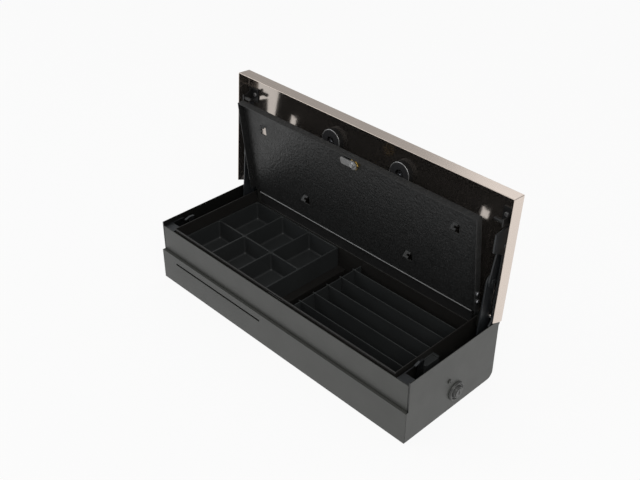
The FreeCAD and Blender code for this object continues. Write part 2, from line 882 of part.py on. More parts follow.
def inner_lock_barrel():
    """The brass body of the inner lock, clamped through the lid."""
    centre = Vector(cam_lock_x, inner_lock_y(), inner_under - barrel_drop)
    body = rod_along(Z, centre, barrel_radius - running_fit, barrel_drop + inner_sheet + bezel_thick)
    nut = top_profile([(centre.x + x, centre.y + y) for x, y in hexagon(barrel_radius + barrel_nut_rim)],
                      inner_under - barrel_drop + 1, barrel_drop - 1)
    bezel = rod_along(Z, Vector(centre.x, centre.y, inner_top), bezel_radius, bezel_thick)
    return body.fuse([nut, bezel]).removeSplitter().cut(
        rod_along(Z, centre - Z, plug_radius + running_fit, lid_top))


def inner_lock_plug():
    """The turning plug of the inner lock, with its key slot."""
    low = inner_under - barrel_drop
    high = inner_top + bezel_thick
    centre = Vector(cam_lock_x, inner_lock_y(), low)
    plug = rod_along(Z, centre, plug_radius, high - low)
    return plug.cut(block(centre.x - 0.7, centre.x + 0.7, centre.y - 2.6, centre.y + 2.6, high - 2.5, high + 1))


def inner_lock_cam():
    """The flat cam on the end of the plug, pointing left when unlocked."""
    low = inner_under - barrel_drop - cam_thick
    half = cam_width / 2
    y = inner_lock_y()
    end = rod_along(Z, Vector(cam_lock_x, y, low), half + cam_rim, cam_thick)
    tip = cam_lock_x - cam_length
    arm = top_profile([(cam_lock_x, y - half), (cam_lock_x, y + half), (tip + cam_bevel, y + half),
                       (tip, y + half - cam_bevel), (tip, y - half + cam_bevel),
                       (tip + cam_bevel, y - half)], low, cam_thick)
    return end.fuse(arm).removeSplitter()


def inner_lock_screw():
    """The hexagon screw that holds the cam."""
    top = inner_under - barrel_drop - cam_thick
    washer = rod_along(Z, Vector(cam_lock_x, inner_lock_y(), top - cam_washer), cam_screw_radius + cam_washer, cam_washer)
    head = top_profile([(cam_lock_x + x, inner_lock_y() + y) for x, y in hexagon(cam_screw_radius)],
                       top - cam_screw_height, cam_screw_height - cam_washer)
    return washer.fuse(head).removeSplitter()


def inner_screw_z():
    """Height of the screws in the inner lid's side lips, with the lid shut."""
    return inner_top - inner_depth / 2


def inner_lid_screws():
    """Two small screws in each side lip of the inner lid."""
    made = []
    for reach in (inner_screw_reach_low, inner_screw_reach_high):
        right = screw(Vector(inner_half, inner_hinge_y - reach, inner_screw_z()), X, inner_lip_sheet)
        made += [right, mirrored(right)]
    return made


# Outer lid


def lid_cover():
    """The stainless cover: a folded tray with deep lips at the front and sides and a short one at the back."""
    low = lid_top - lid_depth
    outer = block(-lid_half, lid_half, -lid_front, lid_back, low, lid_top)
    top_edges = [edge for edge in outer.Edges if edge.BoundBox.ZMin > lid_top - 0.01]
    corners = [edge for edge in outer.Edges if edge.BoundBox.YMax < -lid_front + 0.01 and
               abs(edge.tangentAt(edge.FirstParameter).z) > 0.9]
    outer = outer.makeFillet(lid_edge_round, top_edges + corners)
    inner = block(-lid_half + lid_skin, lid_half - lid_skin, -lid_front + lid_skin, lid_back - lid_skin,
                  low - 1, lid_under)
    cover = outer.cut(inner)
    back = lid_back - lid_skin
    cover = cover.cut(block(-lid_half + lid_skin, lid_half - lid_skin, back - 1, lid_back + 1,
                            low - 1, lid_top - lid_rear_lip))
    for x0, x1 in ((-lid_half + lid_skin, -lid_rear_lip_half), (lid_rear_lip_half, lid_half - lid_skin)):
        cover = cover.cut(block(x0, x1, back - 1, lid_back + 1, low - 1, lid_under))
    taper = side_profile([(lid_back + 1, low - 1), (lid_back + 1, hinge_z), (lid_back, hinge_z),
                          (lid_back - lid_tail_taper, low), (lid_back - lid_tail_taper, low - 1)],
                         -lid_half - 1, 2 * lid_half + 2)
    return cover.cut(taper)


def lid_rail():
    """The right-hand bracket along the inside of the lid, which carries the hinge and the stay."""
    front = lid_rail_front + lid_rail_plate_front
    back = front + lid_rail_plate_length
    low = lid_under - lid_rail_drop
    deep = lid_under - lid_rail_plate_depth
    rail = side_profile([(lid_rail_front, lid_under), (lid_rail_front, low), (front, deep),
                         (back, deep), (back + lid_rail_plate_slope, low), (lid_rail_back, low),
                         (lid_rail_back, lid_under)], lid_rail_x, lid_rail_thick)
    flange_back = lid_rail_back - lid_rail_flange_inset
    flange = block(lid_rail_x - lid_rail_flange, lid_rail_x, flange_back - lid_rail_flange_length, flange_back,
                   lid_under - sheet, lid_under)
    rail = rail.fuse(flange).removeSplitter()
    rail = bored_x(rail, hinge_y, hinge_z, hinge_pin_radius)
    y, z = shut_point(stay_lid_y, stay_lid_z)
    return bored_x(rail, y, z, lid_pin)


def hinge_pin():
    """The right-hand hinge pin, fixed in the lid's rail and turning in the casing's ear."""
    start = Vector(lid_rail_x - seam, hinge_y, hinge_z)
    return rod_along(X, start, hinge_pin_radius, ear_x + ear_thick + seam - start.x)


def stay_lid_pin():
    """The right-hand pin that joins the upper stay to the lid's rail."""
    y, z = shut_point(stay_lid_y, stay_lid_z)
    start = upper_stay_x - 2 * seam
    outside = lid_rail_x + lid_rail_thick
    pin = rod_along(X, Vector(start, y, z), lid_pin, outside - start)
    heads = [rod_along(X, Vector(x, y, z), lid_pin + sheet, sheet) for x in (start - sheet, outside)]
    return pin.fuse(heads).removeSplitter()


def striker():
    """The right-hand striker: a bracket under the lid with a pin that the latch hook holds."""
    front = striker_y - striker_plate_front
    back = striker_y + striker_plate_back
    half = striker_leg_half
    shoulder = striker_z + striker_pin
    plate = block(latch_notch_inner + 2 * sheet, lid_half - lid_skin - striker_plate_thick, front, back,
                  lid_under - striker_plate_thick, lid_under)
    leg = side_profile([(front, lid_under), (back, lid_under), (striker_y + half, shoulder),
                        (striker_y + half, striker_leg_low), (striker_y - half, striker_leg_low),
                        (striker_y - half, shoulder)], striker_leg_x, striker_leg_thick)
    pin_start = hook_x - 3 * seam
    pin = rod_along(X, Vector(pin_start, striker_y, striker_z), striker_pin, striker_leg_x - pin_start)
    body = plate.fuse([leg, pin]).removeSplitter()
    return body.cut(rod_along(Z, striker_screw_place() - Z, screw_radius, striker_plate_thick + 2))


def striker_screw_place():
    """Where the head of the right-hand striker's screw sits."""
    middle = (latch_notch_inner + striker_leg_x) / 2
    return Vector(middle + sheet, striker_y - striker_screw_front, lid_under - striker_plate_thick)


def striker_screw():
    """The screw that holds the right-hand striker to the lid."""
    return screw(striker_screw_place(), -Z, striker_plate_thick)


def magnet():
    """The right-hand pot magnet, with the screw hole through its middle."""
    centre = Vector(magnet_x, -lid_front + magnet_reach, lid_under - magnet_height)
    body = rod_along(Z, centre, magnet_radius, magnet_height)
    rim = [edge for edge in body.Edges if edge.Closed and edge.BoundBox.ZMax < centre.z + 0.01]
    body = body.makeFillet(0.8, rim)
    bore = rod_along(Z, centre - Z, magnet_bore, magnet_height + 2)
    sink = Part.makeCone(2 * magnet_bore, magnet_bore, magnet_bore, centre, Z)
    return body.cut(bore).cut(sink)


def magnet_screw():
    """The countersunk screw inside the right-hand magnet."""
    centre = Vector(magnet_x, -lid_front + magnet_reach, lid_under - magnet_height + 0.4 * magnet_bore)
    head = Part.makeCone(1.5 * magnet_bore, 0.8 * magnet_bore, 0.7 * magnet_bore, centre, Z)
    shank_start = centre + Z * (0.7 * magnet_bore)
    shank = rod_along(Z, shank_start, 0.8 * magnet_bore, lid_under - shank_start.z)
    drive = rod_along(Z, centre - Z, 0.5 * magnet_bore, 1 + 0.5 * magnet_bore)
    return head.fuse(shank).removeSplitter().cut(drive)


# Stays


def lower_stay():
    """The right-hand lower stay, from the casing to the knee."""
    foot = (stay_foot_y, stay_foot_z)
    knee = (stay_knee_y, stay_knee_z)
    arm = link(foot, knee, stay_foot_round, stay_knee_round, lower_stay_x, stay_thick)
    arm = bored_x(arm, stay_foot_y, stay_foot_z, foot_pin + running_fit)
    return arm.fuse(knee_rivet()).removeSplitter()


def knee_rivet():
    """The right-hand knee rivet, one with the lower stay."""
    start = lower_stay_x + stay_thick
    shank_end = upper_stay_x + stay_thick + seam
    shank = rod_along(X, Vector(start, stay_knee_y, stay_knee_z), knee_pin, shank_end - start)
    head = rod_along(X, Vector(shank_end, stay_knee_y, stay_knee_z), knee_pin + knee_slack + knee_head_rim, sheet)
    return shank.fuse(head).removeSplitter()


def upper_stay():
    """The right-hand upper stay, with a wide hole round the knee pin."""
    knee = (stay_knee_y, stay_knee_z)
    shoulder = (stay_lid_y - upper_shoulder_front, stay_lid_z - upper_shoulder_drop)
    arm = link(knee, (stay_lid_y, stay_lid_z), upper_knee_round, upper_lid_round, upper_stay_x, stay_thick)
    front = link(knee, shoulder, upper_knee_round, upper_lid_round, upper_stay_x, stay_thick)
    arm = arm.fuse(front).removeSplitter()
    arm = bored_x(arm, stay_knee_y, stay_knee_z, knee_pin + knee_slack)
    return bored_x(arm, stay_lid_y, stay_lid_z, lid_pin + running_fit)


def stay_stud():
    """The right-hand stud on the casing's side that the lower stay turns on."""
    start = lower_stay_x - 2 * seam
    stud = rod_along(X, Vector(start, stay_foot_y, stay_foot_z), foot_pin, side_inner - start)
    head = rod_along(X, Vector(start - sheet, stay_foot_y, stay_foot_z), 2 * foot_pin, sheet)
    collar = rod_along(X, Vector(lower_stay_x + stay_thick + seam, stay_foot_y, stay_foot_z),
                       1.5 * foot_pin, 2 * sheet)
    return stud.fuse([head, collar]).removeSplitter()


def stay_spring():
    """The right-hand torsion spring round the stud: one unbroken wire with two straight legs."""
    centre = Vector(0, stay_foot_y, stay_foot_z)
    length = spring_turns * spring_pitch
    helix = Part.makeHelix(spring_pitch, length, spring_radius)
    helix.rotate(Vector(0, 0, 0), Y, 90)
    helix.translate(centre + X * spring_start_x)
    ends = [helix.Edges[0].valueAt(helix.Edges[0].FirstParameter), helix.Edges[-1].valueAt(helix.Edges[-1].LastParameter)]
    start_dir = helix.Edges[0].tangentAt(helix.Edges[0].FirstParameter)
    end_dir = helix.Edges[-1].tangentAt(helix.Edges[-1].LastParameter)
    first = Part.LineSegment(ends[0] - start_dir * spring_leg, ends[0]).toShape()
    last = Part.LineSegment(ends[1], ends[1] + end_dir * spring_leg).toShape()
    path = Part.Wire([first] + helix.Edges + [last])
    circle = Part.Wire(Part.makeCircle(spring_wire / 2, ends[0] - start_dir * spring_leg, start_dir))
    return path.makePipeShell([circle], True, False)


# Latch


def latch_hook():
    """The right-hand hook, drawn hooked over the striker pin and then released."""
    base = Vector(hook_x, shaft_y, shaft_z)
    ring = rod_along(X, base, hook_round, hook_thick)
    outline = [
        (shaft_y - hook_round, shaft_z), (hook_stem_front, shaft_z + 2 * hook_round), (hook_stem_front, beak_under),
        (beak_tip, beak_under), (beak_tip, beak_under + sheet), (hook_stem_front, hook_top),
        (hook_stem_back, hook_top), (hook_stem_back, shaft_z + 2 * hook_round), (shaft_y + hook_round, shaft_z),
    ]
    body = ring.fuse(side_profile(outline, hook_x, hook_thick)).removeSplitter()
    return bored_x(body, shaft_y, shaft_z, shaft_radius + running_fit)


def latch_hook_right():
    """The right-hand hook with the holes that the plunger and the release rod work in."""
    body = bored_x(latch_hook(), latch_pull_y(), plunger_z(), plunger_pin + rod_slack)
    pin = rod_along(X, Vector(rod_x - seam, latch_pull_y(), rod_z), rod_pin, hook_x - rod_x + seam)
    return released(body.fuse(pin).removeSplitter())


def latch_pull_y():
    """Middle of the hook's stem."""
    return (hook_stem_front + hook_stem_back) / 2


def latch_shaft():
    """The shaft under the tray that joins the two hooks."""
    end = hook_x + hook_thick + sheet
    return rod_along(X, Vector(-end, shaft_y, shaft_z), shaft_radius, 2 * end)


def latch_bracket():
    """The right-hand latch bracket: a wall on the side panel, a roof with the striker's notch, and a shaft leg."""
    front = -case_front + 2 * sheet
    low = base_top
    top = latch_bracket_top
    thick = bracket_thick
    wall = block(side_inner - thick, side_inner, front, latch_bracket_back, low, top)
    roof = block(latch_bracket_inner, side_inner, front, latch_bracket_back, top - thick, top)
    notch = block(latch_notch_inner, latch_notch_outer, latch_notch_front, latch_bracket_back + 1, low, top + 1)
    leg_x = hook_x + hook_thick + 2 * sheet
    leg = block(leg_x, leg_x + thick, shaft_y - hook_round, shaft_y + hook_round, low, shaft_z + hook_round)
    foot = block(leg_x, side_inner, shaft_y - hook_round, shaft_y + hook_round, low, low + thick)
    return wall.fuse(roof.cut(notch)).fuse([leg, foot]).removeSplitter()


def plunger_z():
    """Height of the solenoid's axis."""
    return (coil_low + coil_high) / 2


def pulled(z):
    """How far the released hook has swung back at a height above the shaft."""
    return (z - shaft_z) * math.sin(math.radians(hook_swing_deg))


def solenoid_frame():
    """The steel frame round the coil."""
    outer = block(coil_inner, coil_outer, coil_front, coil_back, coil_low, coil_high)
    inner = block(coil_inner - 1, coil_outer + 1, coil_front + coil_frame, coil_back - coil_frame,
                  coil_low + coil_frame, coil_high - coil_frame)
    body = outer.cut(inner)
    centre = Vector((coil_inner + coil_outer) / 2, coil_front - 1, plunger_z())
    body = body.cut(rod_along(Y, centre, plunger_radius + running_fit, coil_frame + 2))
    foot = block(coil_inner, coil_outer, coil_front + 4 * sheet, coil_back - 4 * sheet, base_top, coil_low)
    return body.fuse(foot).removeSplitter()


def solenoid_coil():
    """The wound coil with a bore for the plunger."""
    radius = (coil_outer - coil_inner) / 2
    centre = Vector((coil_inner + coil_outer) / 2, coil_front + coil_frame, plunger_z())
    length = coil_back - coil_front - 2 * coil_frame
    coil = rod_along(Y, centre, radius, length)
    return coil.cut(rod_along(Y, centre, plunger_radius + 2 * running_fit, length - coil_frame))


def solenoid_plunger():
    """The plunger, drawn pulled in, with the cross pin that works the hook."""
    middle = (coil_inner + coil_outer) / 2
    y = latch_pull_y() + pulled(plunger_z())
    body = rod_along(Y, Vector(middle, y - 2 * plunger_pin, plunger_z()), plunger_radius,
                     coil_back - 4 * coil_frame - y)
    pin = rod_along(X, Vector(hook_x - sheet, y, plunger_z()), plunger_pin, middle - hook_x + sheet)
    slit = block(hook_x - seam, hook_x + hook_thick + seam, y - 3 * plunger_pin, y + 4 * plunger_pin,
                 coil_low, coil_high)
    return body.cut(slit).fuse(pin).removeSplitter()


def release_rod():
    """The flat rod between the side lock's crank and the right-hand hook."""
    hook_end = latch_pull_y() + pulled(rod_z)
    front = hook_end - rod_height
    back = lock_y + rod_height + crank_throw()
    half = rod_height / 2
    body = block(rod_x, rod_x + rod_thick, front, back, rod_z - half, rod_z + half)
    eye = block(rod_x, rod_x + rod_thick, lock_y - rod_height - crank_throw(), back,
                lock_z - rod_height, rod_z + half)
    body = body.fuse(eye).removeSplitter()
    body = bored_x(body, hook_end, rod_z, rod_pin + rod_slack)
    crank_y = lock_y + crank_throw() * math.sin(math.radians(lock_swing_deg / 2))
    slot_half = rod_pin + rod_slack
    return body.cut(block(rod_x - 1, rod_x + rod_thick + 1, crank_y - slot_half, crank_y + slot_half,
                          lock_z - slot_half - sheet, lock_z + crank_throw() + slot_half))


def crank_throw():
    """Radius of the crank pin that moves the rod as far as the hook needs."""
    return pulled(rod_z) / (2 * math.sin(math.radians(lock_swing_deg / 2)))


def side_lock_barrel():
    """The fixed body of the side lock. Outside the panel it has a rim, a dish and a raised middle."""
    barrel = rod_along(X, Vector(lock_inner_end, lock_y, lock_z), lock_barrel_radius, case_half - lock_inner_end)
    rim = lock_head_radius - lock_head_taper
    dish = rim - lock_rim_width
    boss = lock_plug_radius + running_fit + lock_boss_wall
    steps = [(0, 0), (0, lock_head_radius), (lock_rim_height, rim), (lock_rim_height, dish),
             (lock_dish_height, dish - lock_dish_slope), (lock_dish_height, boss + lock_boss_taper),
             (lock_head_proud, boss), (lock_head_proud, 0)]
    corners = [Vector(case_half + height, lock_y + radius, lock_z) for height, radius in steps]
    head = Part.Face(Part.makePolygon(corners + corners[:1])).revolve(corners[0], X, 360)
    body = barrel.fuse(head).removeSplitter()
    return bored_x(body, lock_y, lock_z, lock_plug_radius + running_fit)


def side_lock_nut():
    """The nut behind the side panel."""
    thick = lock_nut_thick
    outline = [(lock_y + y, lock_z + z) for y, z in hexagon(lock_nut_radius)]
    nut = side_profile(outline, side_inner - thick, thick)
    return bored_x(nut, lock_y, lock_z, lock_barrel_radius + running_fit)


def side_lock_plug():
    """The turning plug with its key slot."""
    face = case_half + lock_head_proud + lock_plug_proud
    plug = rod_along(X, Vector(lock_inner_end, lock_y, lock_z), lock_plug_radius, face - lock_inner_end)
    half = lock_slot_width / 2
    return plug.cut(block(face - lock_slot_depth, face + 1, lock_y - half, lock_y + half,
                          lock_z - lock_slot_half, lock_z + lock_slot_half))


def side_lock_crank():
    """The crank disc on the inner end of the plug, with its pin in the rod's slot."""
    throw = crank_throw()
    turn = math.radians(lock_swing_deg / 2)
    y = lock_y + throw * math.sin(turn)
    z = lock_z + throw * math.cos(turn)
    disc = rod_along(X, Vector(lock_inner_end - lock_crank_thick, lock_y, lock_z), lock_plug_radius, lock_crank_thick)
    start = rod_x - seam
    pin = rod_along(X, Vector(start, y, z), rod_pin, lock_inner_end - lock_crank_thick - start)
    return disc.fuse(pin).removeSplitter()


def side_screw():
    """The small screw above the side lock."""
    shank = sheet + 2 * sheet
    return screw(Vector(case_half, side_screw_y, side_screw_z), X, shank)


# Switch


def lid_switch():
    """The left-hand switch body on its foot, with the lever's pivot posts."""
    body = block(switch_inner, switch_outer, switch_front, switch_back, switch_low, switch_high)
    foot = block(switch_inner, switch_outer, switch_front + sheet, switch_back - sheet, base_top, switch_low)
    return mirrored(body.fuse(foot).removeSplitter())


def switch_lever():
    """The spring steel lever on the front of the switch."""
    y = switch_front - seam - switch_lever_thick
    lever = block(switch_inner + sheet, switch_outer - sheet, y, y + switch_lever_thick,
                  switch_low, switch_low + switch_lever_height)
    return mirrored(lever)


# Rear fittings


def cable_grommet():
    """The rubber grommet in the back wall, with nothing through it."""
    front = case_back - sheet
    centre = Vector(grommet_x, front - grommet_flange_thick, grommet_z)
    neck = rod_along(Y, centre, grommet_neck - running_fit, sheet + 2 * grommet_flange_thick)
    lips = [rod_along(Y, Vector(grommet_x, y, grommet_z), grommet_flange, grommet_flange_thick)
            for y in (front - grommet_flange_thick, case_back)]
    body = neck.fuse(lips).removeSplitter()
    return body.cut(rod_along(Y, centre - Y, grommet_bore, sheet + 4 * grommet_flange_thick))


def signal_socket():
    """The modular socket in the back wall."""
    half_width = socket_width / 2 - seam
    half_height = socket_height / 2 - seam
    front = case_back - socket_depth
    body = block(socket_x - half_width, socket_x + half_width, front, case_back + seam,
                 grommet_z - half_height, grommet_z + half_height)
    shoulder = block(socket_x - half_width - 2, socket_x + half_width + 2, front, case_back - sheet,
                     grommet_z - half_height - 2, grommet_z + half_height + 2)
    mouth = block(socket_x - half_width + 2, socket_x + half_width - 2, front + 3, case_back + 1,
                  grommet_z - half_height + 3, grommet_z + half_height - 2)
    catch = block(socket_x - 2, socket_x + 2, front + 3, case_back + 1,
                  grommet_z - half_height + 1, grommet_z)
    return body.fuse(shoulder).removeSplitter().cut(mouth).cut(catch)


def write(node, shapes):
    """Write one node: one solid, or a group of like solids."""
    solids = shapes if isinstance(shapes, list) else [shapes]
    shape = solids[0] if len(solids) == 1 else Part.makeCompound(solids)
    shape.exportStep("parts/" + node + ".step")
    print(node, len(shape.Solids), "valid" if shape.isValid() else "INVALID", round(shape.Volume, 1))


def pair(make):
    """The same piece on the right and on the left."""
    right = make()
    return [right, mirrored(right)]


def main():
    """Build every piece and write it."""
    os.makedirs("parts", exist_ok=True)
    write("base_panel", base_panel())
    write("base_pads", pads())
    write("side_panel_left", mirrored(side_panel()))
    write("side_panel_right", side_panel_right())
    write("front_plate", front_plate())
    write("front_band", front_band())
    write("rear_panel", rear_panel())
    write("rear_cover", rear_cover())
    write("case_screws", rear_screws() + [side_screw()])
    write("hinge_brackets", pair(hinge_bracket))
    write("tray", tray())
    write("slip_box", slip_box())
    write("tray_bearers", bearers())
    write("coin_cups", cup_insert())
    write("note_rail_left", note_rail(rail_left, 1))
    write("note_rail_right", note_rail(rail_right, -1))
    write("note_dividers", note_dividers())
    write("tray_catches", pair(tray_catch))
    write("inner_lid", inner_opened(inner_lid()))
    write("hinge_leaf_lid", inner_opened(hinge_leaf_lid()))
    write("hinge_leaf_tray", hinge_leaf_tray())
    write("hinge_wire", hinge_wire())
    write("inner_lid_screws", [inner_opened(piece) for piece in inner_lid_screws()])
    write("inner_lock_barrel", inner_opened(inner_lock_barrel()))
    write("inner_lock_plug", inner_opened(inner_lock_plug()))
    write("inner_lock_cam", inner_opened(inner_lock_cam()))
    write("inner_lock_screw", inner_opened(inner_lock_screw()))
    write("lid_cover", opened(lid_cover()))
    write("lid_rails", [opened(rail) for rail in pair(lid_rail)])
    write("lid_hinge_pins", [opened(pin) for pin in pair(hinge_pin)])
    write("stay_lid_pins", [opened(pin) for pin in pair(stay_lid_pin)])
    for side, piece in zip(("right", "left"), pair(striker)):
        write("striker_" + side, opened(piece))
    write("striker_screws", [opened(piece) for piece in pair(striker_screw)])
    write("lid_magnets", [opened(piece) for piece in pair(magnet)])
    write("magnet_screws", [opened(piece) for piece in pair(magnet_screw)])
    for side, piece in zip(("right", "left"), pair(lower_stay)):
        write("lower_stay_" + side, piece)
    for side, piece in zip(("right", "left"), pair(upper_stay)):
        write("upper_stay_" + side, piece)
    write("stay_studs", pair(stay_stud))
    write("stay_springs", pair(stay_spring))
    write("latch_hook_right", latch_hook_right())
    write("latch_hook_left", mirrored(released(latch_hook())))
    write("latch_shaft", latch_shaft())
    for side, piece in zip(("right", "left"), pair(latch_bracket)):
        write("latch_bracket_" + side, piece)
    write("solenoid_frame", solenoid_frame())
    write("solenoid_coil", solenoid_coil())
    write("solenoid_plunger", solenoid_plunger())
    write("release_rod", release_rod())
    write("side_lock_barrel", side_lock_barrel())
    write("side_lock_nut", side_lock_nut())
    write("side_lock_plug", side_lock_plug())
    write("side_lock_crank", side_lock_crank())
    write("lid_switch", lid_switch())
    write("switch_lever", switch_lever())
    write("cable_grommet", cable_grommet())
    write("signal_socket", signal_socket())


main()
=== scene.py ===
import json
import logging
import math
from dataclasses import dataclass, field
from enum import Enum
from typing import Sequence, Union

import bpy
from mathutils import Euler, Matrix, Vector


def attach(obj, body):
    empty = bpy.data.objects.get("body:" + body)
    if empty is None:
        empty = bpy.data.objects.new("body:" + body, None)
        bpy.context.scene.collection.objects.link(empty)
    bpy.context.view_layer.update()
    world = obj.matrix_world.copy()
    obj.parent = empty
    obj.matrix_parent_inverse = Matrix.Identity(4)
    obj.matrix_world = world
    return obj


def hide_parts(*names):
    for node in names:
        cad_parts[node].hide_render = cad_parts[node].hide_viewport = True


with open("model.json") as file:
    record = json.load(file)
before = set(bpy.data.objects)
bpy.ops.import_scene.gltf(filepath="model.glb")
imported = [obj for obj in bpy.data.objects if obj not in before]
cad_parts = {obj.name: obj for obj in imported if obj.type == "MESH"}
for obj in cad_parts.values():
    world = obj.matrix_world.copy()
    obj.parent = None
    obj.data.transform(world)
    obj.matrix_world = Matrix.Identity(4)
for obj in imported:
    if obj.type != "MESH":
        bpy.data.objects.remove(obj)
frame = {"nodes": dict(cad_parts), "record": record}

log = logging.getLogger("cash_drawer")

Colour = tuple[float, float, float]
MM = 0.001


class Ray(Enum):
    """A kind of ray that the floor and the surround can tell apart."""

    CAMERA = "Is Camera Ray"
    GLOSSY = "Is Glossy Ray"
    THROUGH = "Is Transmission Ray"


class Wire:
    """A socket that takes part in sums, so that shader maths reads as plain expressions."""

    def __init__(self, shader: "Shader", socket: bpy.types.NodeSocket) -> None:
        """Keep the shader that the socket belongs to."""
        self.shader = shader
        self.socket = socket

    def _sum(self, kind: str, first: object, second: object) -> "Wire":
        """Add a Math node for two values and return its result."""
        return self.shader.add("ShaderNodeMath", {"operation": kind}, {0: first, 1: second})

    def __add__(self, other: object) -> "Wire":
        """Add a value."""
        return self._sum("ADD", self, other)

    __radd__ = __add__

    def __mul__(self, other: object) -> "Wire":
        """Multiply by a value."""
        return self._sum("MULTIPLY", self, other)

    __rmul__ = __mul__

    def __sub__(self, other: object) -> "Wire":
        """Take a value away."""
        return self._sum("SUBTRACT", self, other)

    def __rsub__(self, other: object) -> "Wire":
        """Take this from a value."""
        return self._sum("SUBTRACT", other, self)

    def __gt__(self, other: object) -> "Wire":
        """One where this is greater than a value, else zero."""
        return self._sum("GREATER_THAN", self, other)

    def __lt__(self, other: object) -> "Wire":
        """One where this is less than a value, else zero."""
        return self._sum("LESS_THAN", self, other)

    def __abs__(self) -> "Wire":
        """The value without its sign."""
        return self.shader.add("ShaderNodeMath", {"operation": "ABSOLUTE"}, {0: self})

    def __pow__(self, other: object) -> "Wire":
        """Raise to a power."""
        return self._sum("POWER", self, other)

    def clamp(self) -> "Wire":
        """Hold the value between zero and one."""
        return self.shader.add("ShaderNodeClamp", {}, {"Value": self, "Min": 0.0, "Max": 1.0})


@dataclass(frozen=True)
class Swing:
    """A lid's hinge line and how far the lid stands open in the frame."""

    y: float
    z: float
    degrees: float


OUTER_SWING = Swing(76.2 * MM, 96.0 * MM, 93.9)


class Shader:
    """A material with one Principled surface, built node by node."""

    # The sockets of a Mix node that carry colours, by number
    MIX_COLOURS = (6, 7)
    MIX_RESULT = 2

    def __init__(self, name: str, base: Colour, metallic: float, roughness: float) -> None:
        """Make the material and set what is the same all over it.

        Args:
            name: the material's name.
            base: the plain base colour.
            metallic: 1 for bare metal, 0 for paint and plastic, and between them for a dull plate.
            roughness: the plain roughness.
        """
        self.material = bpy.data.materials.new(name)
        self.material.use_nodes = True
        self.tree = self.material.node_tree
        self.surface = self.tree.nodes["Principled BSDF"]
        self.surface.inputs["Base Color"].default_value = (*base, 1.0)
        self.surface.inputs["Metallic"].default_value = metallic
        self.surface.inputs["Roughness"].default_value = roughness
        self.material.diffuse_color = (*base, 1.0)

    def add(self, kind: str, settings: dict, links: dict, output: Union[int, str] = 0) -> Wire:
        """Add a node.

        Args:
            kind: the node's type.
            settings: its settings, which are made first.
            links: values or links of its sockets by name or number.
            output: the socket that is returned.

        Returns:
            The chosen output.
        """
        node = self.tree.nodes.new(kind)
        for key, value in settings.items():
            setattr(node, key, value)
        for key, value in links.items():
            if isinstance(value, Wire):
                self.tree.links.new(value.socket, node.inputs[key])
            else:
                node.inputs[key].default_value = value
        return Wire(self, node.outputs[output])

    def place(self, stretch: Sequence[float] = (1.0, 1.0, 1.0)) -> Wire:
        """Object coordinates, stretched along each axis."""
        raw = self.add("ShaderNodeTexCoord", {}, {}, "Object")
        return self.add("ShaderNodeMapping", {}, {"Vector": raw, "Scale": tuple(stretch)})

    def noise(self, scale: float, detail: float = 2.0, stretch: Sequence[float] = (1.0, 1.0, 1.0)) -> Wire:
        """Noise with a number of cells to the metre."""
        return self.add("ShaderNodeTexNoise", {},
                        {"Vector": self.place(stretch), "Scale": scale, "Detail": detail})

    def axes(self) -> tuple[Wire, Wire, Wire]:
        """The three object coordinates, in metres."""
        raw = self.add("ShaderNodeTexCoord", {}, {}, "Object")
        parts = self.add("ShaderNodeSeparateXYZ", {}, {0: raw})
        outputs = parts.socket.node.outputs
        return Wire(self, outputs[0]), Wire(self, outputs[1]), Wire(self, outputs[2])

    def shut_place(self, swing: Swing) -> tuple[Wire, Wire, Wire]:
        """Where a point of an open lid lies when the lid is shut, measured from its hinge line."""
        x, y, z = self.axes()
        cosine = math.cos(math.radians(swing.degrees))
        sine = math.sin(math.radians(swing.degrees))
        behind = y - swing.y
        above = z - swing.z
        return x, behind * cosine - above * sine, behind * sine + above * cosine

    def blend(self, amount: Wire, first: Union[Colour, Wire], second: Union[Colour, Wire]) -> Wire:
        """Mix two colours by an amount from 0 to 1."""
        node = self.tree.nodes.new("ShaderNodeMix")
        node.data_type = "RGBA"
        self.tree.links.new(amount.socket, node.inputs["Factor"])
        for number, colour in zip(self.MIX_COLOURS, (first, second)):
            if isinstance(colour, Wire):
                self.tree.links.new(colour.socket, node.inputs[number])
            else:
                node.inputs[number].default_value = (*colour, 1.0)
        return Wire(self, node.outputs[self.MIX_RESULT])

    def feed(self, name: str, wire: Wire) -> None:
        """Link a value to one of the surface's sockets."""
        self.tree.links.new(wire.socket, self.surface.inputs[name])

    def relief(self, height: Wire, depth: float, strength: float) -> None:
        """Raise the surface by a height field, in metres."""
        bump = self.add("ShaderNodeBump", {}, {"Height": height, "Distance": depth, "Strength": strength})
        self.feed("Normal", bump)


def shade(colour: Colour, factor: float) -> Colour:
    """The colour made lighter or darker by a factor."""
    return (colour[0] * factor, colour[1] * factor, colour[2] * factor)


@dataclass(frozen=True)
class PowderCoat:
    """Oven-baked powder paint on steel: an orange-peel skin with a little dust and rub."""

    name: str
    tone: Colour = (0.048, 0.0495, 0.0455)
    roughness: float = 0.42
    peel_cells: float = 900.0
    peel_depth: float = 0.04 * MM
    patch_cells: float = 9.0
    speck_cells: float = 2600.0
    rub_cells: float = 40.0
    rub: float = 0.14
    dark_within: float = 0.0
    dark_share: float = 0.14

    def make(self) -> bpy.types.Material:
        """Build the material."""
        shader = Shader(self.name, self.tone, 0.0, self.roughness)
        patches = shader.noise(self.patch_cells, 3.0)
        speck = shader.noise(self.speck_cells)
        mixed = (patches * 0.7 + speck * 0.3).clamp()
        colour = shader.blend(mixed, shade(self.tone, 0.88), shade(self.tone, 1.12))
        # Faces nearer the middle than dark_within, which are the side panels' inner faces, are darkened to
        # dark_share of the tone.
        if self.dark_within:
            across = abs(shader.axes()[0])
            colour = shader.blend(across < self.dark_within, colour, shade(self.tone, self.dark_share))
        shader.feed("Base Color", colour)
        rubbed = shader.noise(self.rub_cells, 3.0) * self.rub
        shader.feed("Roughness", (rubbed + (self.roughness - self.rub / 2)).clamp())
        shader.relief(shader.noise(self.peel_cells), self.peel_depth, 0.6)
        return shader.material


